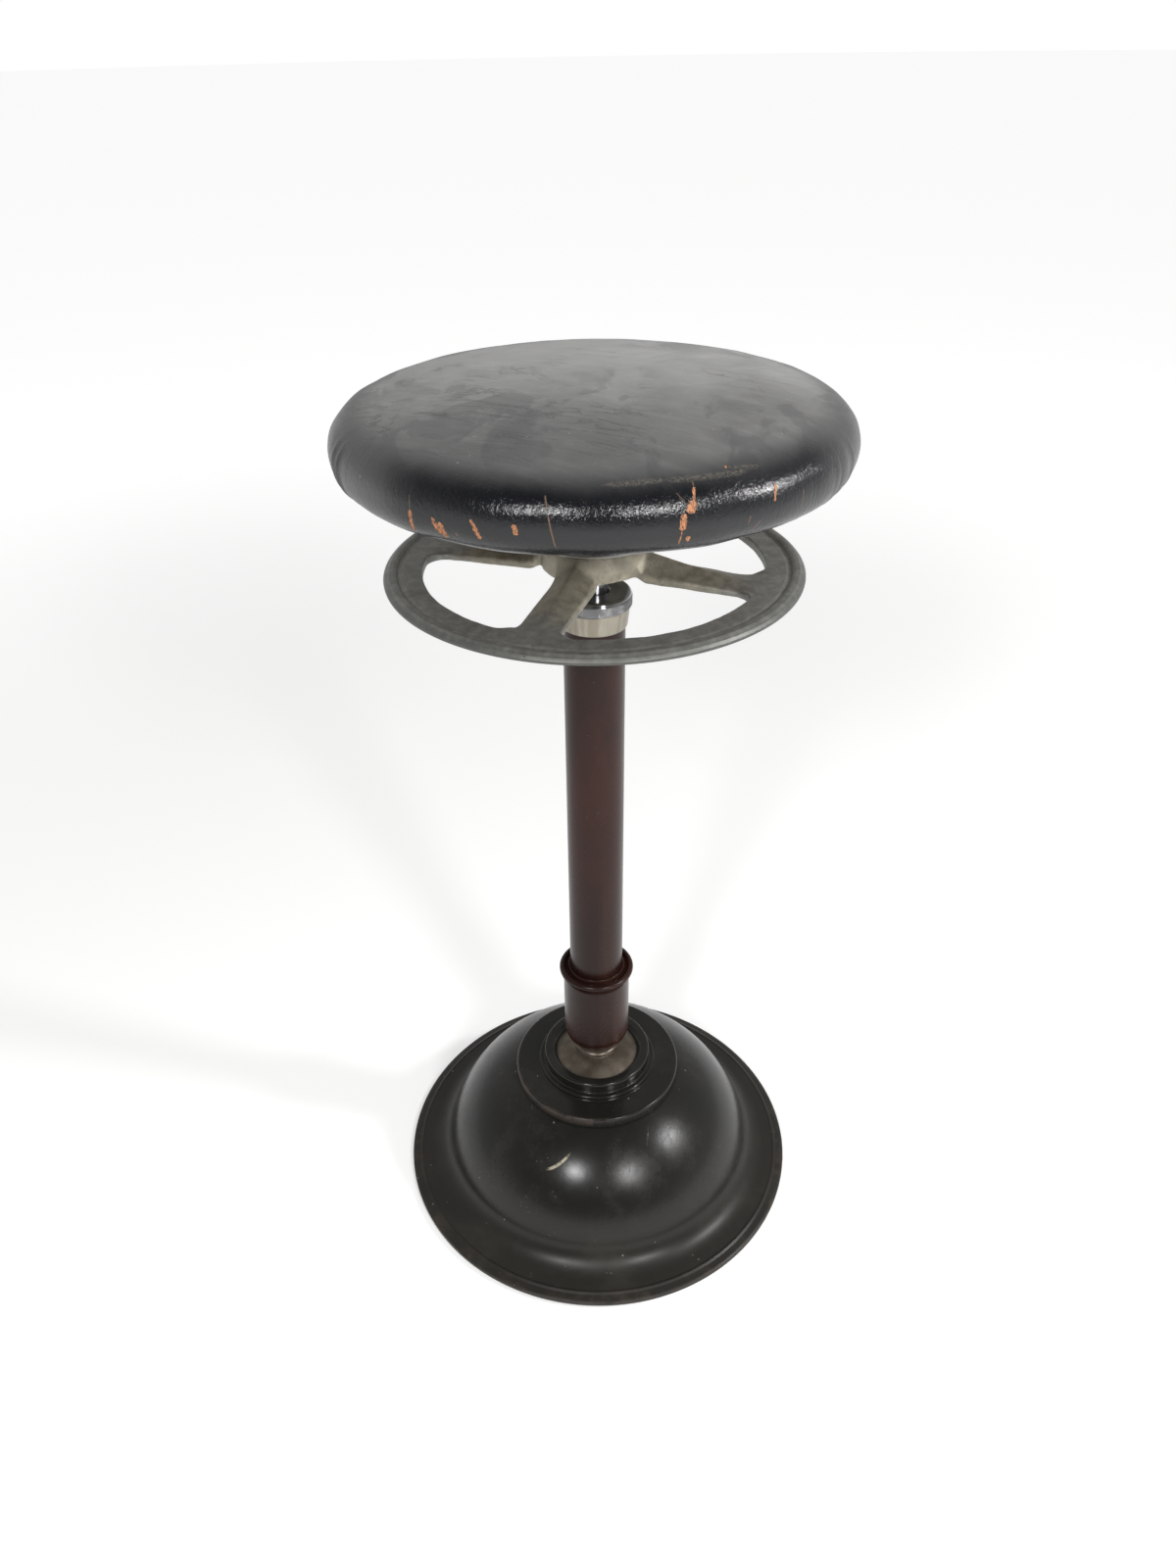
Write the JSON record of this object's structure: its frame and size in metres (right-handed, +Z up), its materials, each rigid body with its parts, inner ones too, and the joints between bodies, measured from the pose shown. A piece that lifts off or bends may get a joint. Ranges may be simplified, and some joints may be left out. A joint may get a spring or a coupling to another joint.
{
  "type": "dental stool",
  "caption": "Round padded stool that swivels on a hand-wheel screw in a tube column, with a ball foot that tilts in a socket on a hollow bell base.",
  "frame": {"origin": "centre of the floor ring, on the floor", "axes": "+Z up along the column, -Y towards the viewer of the picture, +X to the viewer's right"},
  "size_m": [0.3551, 0.3552, 0.7199],
  "materials": {
    "black_japan": "gloss, chipped and worn at the edges",
    "floor_rubber": "matt",
    "black_steel": "satin",
    "plain_iron": "turned",
    "spring_steel": "oiled",
    "plain_steel": "turned",
    "worn_iron": "brown-bronze, rubbed",
    "brown_enamel": "gloss",
    "bronze": "turned",
    "nickel": "polished, slightly dulled",
    "spindle_steel": "polished",
    "wheel_aluminium": "cast, dull",
    "ball_steel": "polished",
    "board_wood": "plain",
    "pad_fabric": "felted stuffing",
    "black_leather": "worn, dusty on top, cracked"
  },
  "bodies": {
    "base": {"bell_base": "black_japan", "floor_ring": "floor_rubber", "socket_cap": "black_japan", "cap_bolts": "black_steel", "socket_seat": "plain_iron", "centring_spring": "spring_steel"},
    "rocker": {"ball_washer": "plain_iron"},
    "column": {"cup_washer": "plain_iron", "stem_nuts": "plain_steel", "draw_stem": "plain_steel", "ball_foot": "worn_iron", "ferrule": "brown_enamel", "column_plug": "plain_iron", "plug_rivets": "plain_steel", "column_tube": "brown_enamel", "screw_nut": "bronze", "top_collar": "nickel", "collar_screw": "black_steel", "clamp_collet": "bronze"},
    "clamp": {"knurled_ring": "plain_steel"},
    "guide": {"guide_bush": "bronze"},
    "spindle": {"guide_washer": "plain_steel", "guide_nut": "plain_steel", "screw_spindle": "spindle_steel", "hub_key": "plain_steel", "hub_nut": "plain_steel", "handwheel": "wheel_aluminium", "lower_race": "spindle_steel", "bearing_balls": "ball_steel", "ball_cage": "bronze", "swivel_washer": "plain_steel", "swivel_nut": "plain_steel"},
    "seat": {"upper_race": "spindle_steel", "dust_washer": "plain_steel", "bracket_bush": "bronze", "seat_bracket": "black_japan", "bracket_screws": "plain_steel", "seat_board": "board_wood", "seat_pad": "pad_fabric", "seat_cover": "black_leather", "cover_tacks": "black_steel"}
  },
  "joints": [
    {"name": "tilt_fore_aft", "type": "hinge", "parent": "base", "child": "rocker", "pos_m": [0, 0, 0.058], "axis": [1, 0, 0], "range_deg": [-6, 6], "stiffness_Nm_per_rad": 300, "deforming": ["centring_spring"]},
    {"name": "tilt_side", "type": "hinge", "parent": "rocker", "child": "column", "pos_m": [0, 0, 0.058], "axis": [0, 1, 0], "range_deg": [-6, 6], "stiffness_Nm_per_rad": 300, "deforming": ["centring_spring"]},
    {"name": "clamp_ring_turn", "type": "hinge", "parent": "column", "child": "clamp", "pos_m": [0, 0, 0.57], "axis": [0, 0, 1], "range_deg": [0, 180]},
    {"name": "height_travel", "type": "slide", "parent": "column", "child": "guide", "axis": [0, 0, 1], "range_m": [0, 0.2001]},
    {"name": "screw_turn", "type": "hinge", "parent": "guide", "child": "spindle", "pos_m": [0, 0, 0.6], "axis": [0, 0, 1], "range_deg": [0, 5760]},
    {"name": "seat_swivel", "type": "hinge", "parent": "spindle", "child": "seat", "pos_m": [0, 0, 0.612], "axis": [0, 0, 1], "continuous": true}
  ],
  "couplings": [
    {"joint": "height_travel", "follows": "screw_turn", "m_per_rad": 0.0019894}
  ]
}
